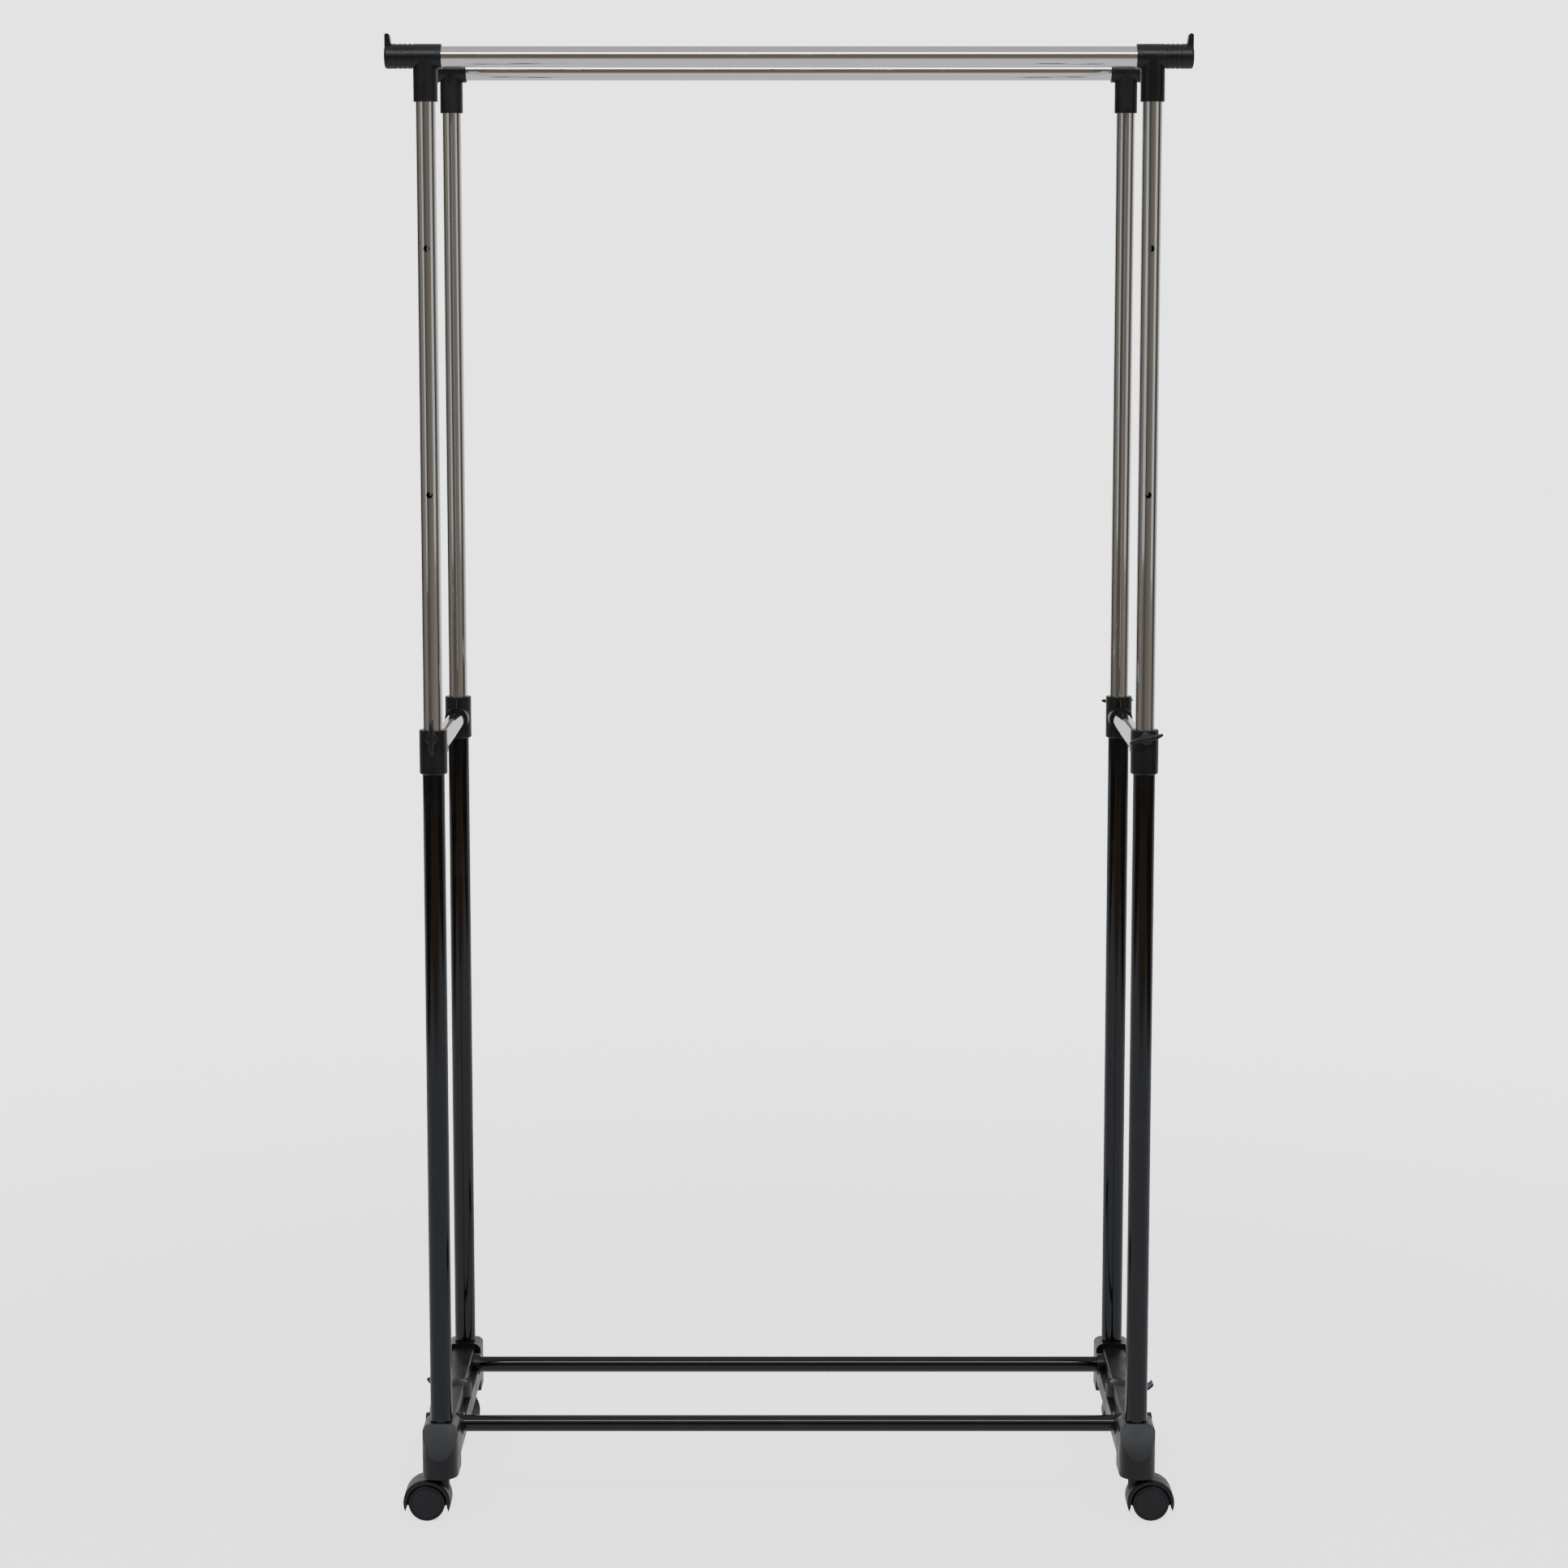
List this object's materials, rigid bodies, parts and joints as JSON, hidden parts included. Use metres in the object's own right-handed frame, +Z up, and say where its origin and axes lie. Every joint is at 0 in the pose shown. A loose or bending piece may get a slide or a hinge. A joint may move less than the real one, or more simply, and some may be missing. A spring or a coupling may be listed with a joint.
{
  "type": "rolling clothes rack",
  "caption": "Double-rail clothes rack on castors, with height-adjustable rails on telescoping uprights clamped by wing screws.",
  "frame": {"origin": "on the floor, in the middle of the rack, under the centre of its box", "axes": "+Z up, +X along the hanging rails to the right, -Y to the front"},
  "size_m": [0.8959, 0.39, 1.6746],
  "materials": {
    "moulded_plastic": "fine-grained black moulding",
    "castor_plastic": "smooth black moulding",
    "inner_plastic": "plain grey moulding",
    "black_enamel": "gloss black powder coat on steel tube",
    "chrome_tube": "bright chrome on steel tube",
    "fixing_steel": "zinc plated"
  },
  "bodies": {
    "frame": {"left_foot": "moulded_plastic", "right_foot": "moulded_plastic", "foot_hub_caps": "moulded_plastic", "front_bottom_bar": "black_enamel", "rear_bottom_bar": "black_enamel", "bottom_bar_plugs": "inner_plastic", "foot_bolts": "fixing_steel", "collar_nuts": "fixing_steel", "left_cross_tube": "chrome_tube", "right_cross_tube": "chrome_tube", "front_left_lower_upright": "black_enamel", "front_left_collar": "moulded_plastic", "front_right_lower_upright": "black_enamel", "front_right_collar": "moulded_plastic", "rear_left_lower_upright": "black_enamel", "rear_left_collar": "moulded_plastic", "rear_right_lower_upright": "black_enamel", "rear_right_collar": "moulded_plastic"},
    "front_upper_frame": {"front_left_upper_upright": "chrome_tube", "front_right_upper_upright": "chrome_tube", "front_hanging_rail": "chrome_tube", "front_left_tee": "moulded_plastic", "front_right_tee": "moulded_plastic", "front_upright_glides": "inner_plastic"},
    "rear_upper_frame": {"rear_left_upper_upright": "chrome_tube", "rear_right_upper_upright": "chrome_tube", "rear_hanging_rail": "chrome_tube", "rear_left_tee": "moulded_plastic", "rear_right_tee": "moulded_plastic", "rear_upright_glides": "inner_plastic"},
    "front_left_screw_stud": {"front_left_stud": "fixing_steel"},
    "front_left_screw_wing": {"front_left_wing": "moulded_plastic"},
    "front_right_screw_stud": {"front_right_stud": "fixing_steel"},
    "front_right_screw_wing": {"front_right_wing": "moulded_plastic"},
    "rear_left_screw_stud": {"rear_left_stud": "fixing_steel"},
    "rear_left_screw_wing": {"rear_left_wing": "moulded_plastic"},
    "rear_right_screw_stud": {"rear_right_stud": "fixing_steel"},
    "rear_right_screw_wing": {"rear_right_wing": "moulded_plastic"},
    "front_left_castor": {"front_left_castor_housing": "castor_plastic", "front_left_castor_stem": "fixing_steel", "front_left_castor_axle": "fixing_steel"},
    "front_left_front_wheel": {"front_left_wheel_front": "castor_plastic"},
    "front_left_back_wheel": {"front_left_wheel_back": "castor_plastic"},
    "front_right_castor": {"front_right_castor_housing": "castor_plastic", "front_right_castor_stem": "fixing_steel", "front_right_castor_axle": "fixing_steel"},
    "front_right_front_wheel": {"front_right_wheel_front": "castor_plastic"},
    "front_right_back_wheel": {"front_right_wheel_back": "castor_plastic"},
    "rear_left_castor": {"rear_left_castor_housing": "castor_plastic", "rear_left_castor_stem": "fixing_steel", "rear_left_castor_axle": "fixing_steel"},
    "rear_left_front_wheel": {"rear_left_wheel_front": "castor_plastic"},
    "rear_left_back_wheel": {"rear_left_wheel_back": "castor_plastic"},
    "rear_left_lever": {"rear_left_brake_lever": "castor_plastic"},
    "rear_right_castor": {"rear_right_castor_housing": "castor_plastic", "rear_right_castor_stem": "fixing_steel", "rear_right_castor_axle": "fixing_steel"},
    "rear_right_front_wheel": {"rear_right_wheel_front": "castor_plastic"},
    "rear_right_back_wheel": {"rear_right_wheel_back": "castor_plastic"},
    "rear_right_lever": {"rear_right_brake_lever": "castor_plastic"}
  },
  "joints": [
    {"name": "front_height_slide", "type": "slide", "parent": "frame", "child": "front_upper_frame", "axis": [0, 0, 1], "range_m": [-0.54, 0]},
    {"name": "rear_height_slide", "type": "slide", "parent": "frame", "child": "rear_upper_frame", "axis": [0, 0, 1], "range_m": [-0.54, 0]},
    {"name": "front_left_screw_travel", "type": "slide", "parent": "frame", "child": "front_left_screw_stud", "axis": [0, -1, 0], "range_m": [0, 0.003]},
    {"name": "front_left_screw_turn", "type": "hinge", "parent": "front_left_screw_stud", "child": "front_left_screw_wing", "pos_m": [-0.397, -0.1744, 0.902], "axis": [0, -1, 0], "range_deg": [0, 1080]},
    {"name": "front_right_screw_travel", "type": "slide", "parent": "frame", "child": "front_right_screw_stud", "axis": [0, -1, 0], "range_m": [0, 0.003]},
    {"name": "front_right_screw_turn", "type": "hinge", "parent": "front_right_screw_stud", "child": "front_right_screw_wing", "pos_m": [0.397, -0.1744, 0.902], "axis": [0, -1, 0], "range_deg": [0, 1080]},
    {"name": "rear_left_screw_travel", "type": "slide", "parent": "frame", "child": "rear_left_screw_stud", "axis": [0, 1, 0], "range_m": [0, 0.003]},
    {"name": "rear_left_screw_turn", "type": "hinge", "parent": "rear_left_screw_stud", "child": "rear_left_screw_wing", "pos_m": [-0.397, 0.1744, 0.902], "axis": [0, 1, 0], "range_deg": [0, 1080]},
    {"name": "rear_right_screw_travel", "type": "slide", "parent": "frame", "child": "rear_right_screw_stud", "axis": [0, 1, 0], "range_m": [0, 0.003]},
    {"name": "rear_right_screw_turn", "type": "hinge", "parent": "rear_right_screw_stud", "child": "rear_right_screw_wing", "pos_m": [0.397, 0.1744, 0.902], "axis": [0, 1, 0], "range_deg": [0, 1080]},
    {"name": "front_left_castor_swivel", "type": "hinge", "parent": "frame", "child": "front_left_castor", "pos_m": [-0.397, -0.158, 0.055], "axis": [0, 0, 1], "continuous": true},
    {"name": "front_left_front_wheel_roll", "type": "hinge", "parent": "front_left_castor", "child": "front_left_front_wheel", "pos_m": [-0.4135, -0.158, 0.021], "axis": [0, 1, 0], "continuous": true},
    {"name": "front_left_back_wheel_roll", "type": "hinge", "parent": "front_left_castor", "child": "front_left_back_wheel", "pos_m": [-0.4135, -0.158, 0.021], "axis": [0, 1, 0], "continuous": true},
    {"name": "front_right_castor_swivel", "type": "hinge", "parent": "frame", "child": "front_right_castor", "pos_m": [0.397, -0.158, 0.055], "axis": [0, 0, 1], "continuous": true},
    {"name": "front_right_front_wheel_roll", "type": "hinge", "parent": "front_right_castor", "child": "front_right_front_wheel", "pos_m": [0.4135, -0.158, 0.021], "axis": [0, 1, 0], "continuous": true},
    {"name": "front_right_back_wheel_roll", "type": "hinge", "parent": "front_right_castor", "child": "front_right_back_wheel", "pos_m": [0.4135, -0.158, 0.021], "axis": [0, 1, 0], "continuous": true},
    {"name": "rear_left_castor_swivel", "type": "hinge", "parent": "frame", "child": "rear_left_castor", "pos_m": [-0.397, 0.158, 0.055], "axis": [0, 0, 1], "continuous": true},
    {"name": "rear_left_front_wheel_roll", "type": "hinge", "parent": "rear_left_castor", "child": "rear_left_front_wheel", "pos_m": [-0.41157, 0.16575, 0.021], "axis": [0.4695, 0.8829, 0], "continuous": true},
    {"name": "rear_left_back_wheel_roll", "type": "hinge", "parent": "rear_left_castor", "child": "rear_left_back_wheel", "pos_m": [-0.41157, 0.16575, 0.021], "axis": [0.4695, 0.8829, 0], "continuous": true},
    {"name": "rear_left_brake", "type": "hinge", "parent": "rear_left_castor", "child": "rear_left_lever", "pos_m": [-0.42084, 0.17068, 0.0475], "axis": [-0.4695, -0.8829, 0], "range_deg": [0, 17]},
    {"name": "rear_right_castor_swivel", "type": "hinge", "parent": "frame", "child": "rear_right_castor", "pos_m": [0.397, 0.158, 0.055], "axis": [0, 0, 1], "continuous": true},
    {"name": "rear_right_front_wheel_roll", "type": "hinge", "parent": "rear_right_castor", "child": "rear_right_front_wheel", "pos_m": [0.4135, 0.158, 0.021], "axis": [0, 1, 0], "continuous": true},
    {"name": "rear_right_back_wheel_roll", "type": "hinge", "parent": "rear_right_castor", "child": "rear_right_back_wheel", "pos_m": [0.4135, 0.158, 0.021], "axis": [0, 1, 0], "continuous": true},
    {"name": "rear_right_brake", "type": "hinge", "parent": "rear_right_castor", "child": "rear_right_lever", "pos_m": [0.424, 0.158, 0.0475], "axis": [0, 1, 0], "range_deg": [0, 17]}
  ],
  "couplings": [
    {"joint": "front_left_screw_travel", "follows": "front_left_screw_turn", "m_per_rad": 0.000159},
    {"joint": "front_right_screw_travel", "follows": "front_right_screw_turn", "m_per_rad": 0.000159},
    {"joint": "rear_left_screw_travel", "follows": "rear_left_screw_turn", "m_per_rad": 0.000159},
    {"joint": "rear_right_screw_travel", "follows": "rear_right_screw_turn", "m_per_rad": 0.000159}
  ]
}
